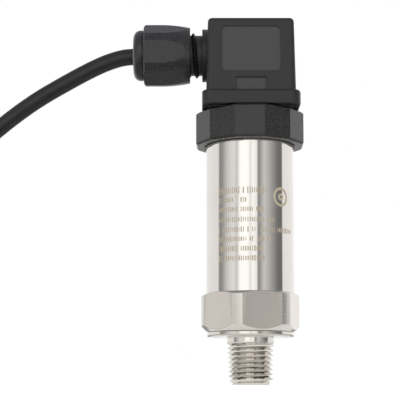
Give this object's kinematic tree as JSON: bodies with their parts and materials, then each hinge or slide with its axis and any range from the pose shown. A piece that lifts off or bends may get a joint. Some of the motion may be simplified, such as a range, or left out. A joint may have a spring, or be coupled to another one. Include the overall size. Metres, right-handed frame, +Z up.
{
  "type": "pressure transmitter",
  "caption": "Stainless pressure transmitter with a male taper process thread, a tubular case and a right-angle square plug with cable gland and pre-wired lead.",
  "frame": {"origin": "centre of the process thread's free end, on the surface that the lead lies on", "axes": "+Z up the case towards the plug, -X along the cable gland, -Y towards the plug's front face"},
  "size_m": [0.1937, 0.045, 0.1094],
  "materials": {
    "stainless_turned": "turned and milled stainless steel",
    "stainless_tube": "polished stainless tube",
    "black_nylon": "moulded glass-filled nylon with a fine spark-eroded grain",
    "seal_rubber": "moulded nitrile rubber",
    "brass": "turned brass",
    "tinned_brass": "tin-plated brass",
    "zinc_steel": "zinc-plated steel",
    "ceramic": "sintered alumina",
    "board_laminate": "solder-masked glass laminate",
    "chip_resin": "moulded epoxy",
    "carrier_resin": "moulded natural nylon",
    "wire_red": "extruded insulation",
    "core_brown": "extruded insulation",
    "core_blue": "extruded insulation",
    "core_green": "extruded insulation",
    "cable_jacket": "extruded soft jacket, satin",
    "tie_nylon": "woven hook-and-loop band"
  },
  "bodies": {
    "transmitter": {"process_fitting": "stainless_turned", "case_tube": "stainless_tube", "sensor_cell": "ceramic", "sensor_seal": "seal_rubber", "cell_retainer": "stainless_turned", "sensor_leads": "wire_red", "circuit_board": "board_laminate", "board_chips": "chip_resin", "board_carrier": "carrier_resin", "signal_lead_1": "wire_red", "signal_lead_2": "wire_red", "ring_nut": "black_nylon", "plug_base": "black_nylon", "tube_seal": "seal_rubber", "thread_insert": "brass", "contact_blade_1": "tinned_brass", "contact_blade_2": "tinned_brass", "contact_blade_3": "tinned_brass", "earth_blade": "tinned_brass", "face_gasket": "seal_rubber", "elbow_housing": "black_nylon", "contact_block": "black_nylon", "clamp_cage_1": "brass", "clamp_cage_2": "brass", "clamp_cage_3": "brass", "clamp_cage_4": "brass", "clamp_screw_1": "zinc_steel", "clamp_screw_2": "zinc_steel", "clamp_screw_3": "zinc_steel", "clamp_screw_4": "zinc_steel", "plug_core_1": "core_brown", "plug_core_2": "core_blue", "plug_core_3": "core_green", "gland_grommet": "seal_rubber", "cable_lead": "cable_jacket", "cable_hank": "cable_jacket", "hank_ties": "tie_nylon", "lead_core_1": "core_brown", "lead_core_2": "core_blue", "lead_core_3": "core_green", "core_ferrules": "tinned_brass"},
    "gland_washer": {"gland_washer": "black_nylon"},
    "gland_nut": {"gland_nut": "black_nylon"},
    "screw_seal": {"screw_seal": "seal_rubber"},
    "fixing_screw": {"fixing_screw": "zinc_steel"}
  },
  "joints": [
    {"name": "gland_nut_travel", "type": "slide", "parent": "transmitter", "child": "gland_washer", "axis": [-1, 0, 0], "range_m": [0, 0.004]},
    {"name": "gland_nut_turn", "type": "hinge", "parent": "gland_washer", "child": "gland_nut", "pos_m": [-0.027, 0, 0.1001], "axis": [-1, 0, 0], "range_deg": [0, 720.1]},
    {"name": "fixing_screw_travel", "type": "slide", "parent": "transmitter", "child": "screw_seal", "axis": [0, 0, 1], "range_m": [0, 0.005]},
    {"name": "fixing_screw_turn", "type": "hinge", "parent": "screw_seal", "child": "fixing_screw", "pos_m": [0, 0, 0.105], "axis": [0, 0, 1], "range_deg": [0, 3600.5]}
  ],
  "couplings": [
    {"joint": "gland_nut_turn", "follows": "gland_nut_travel", "rad_per_m": 3141.6},
    {"joint": "fixing_screw_turn", "follows": "fixing_screw_travel", "rad_per_m": 12566}
  ]
}
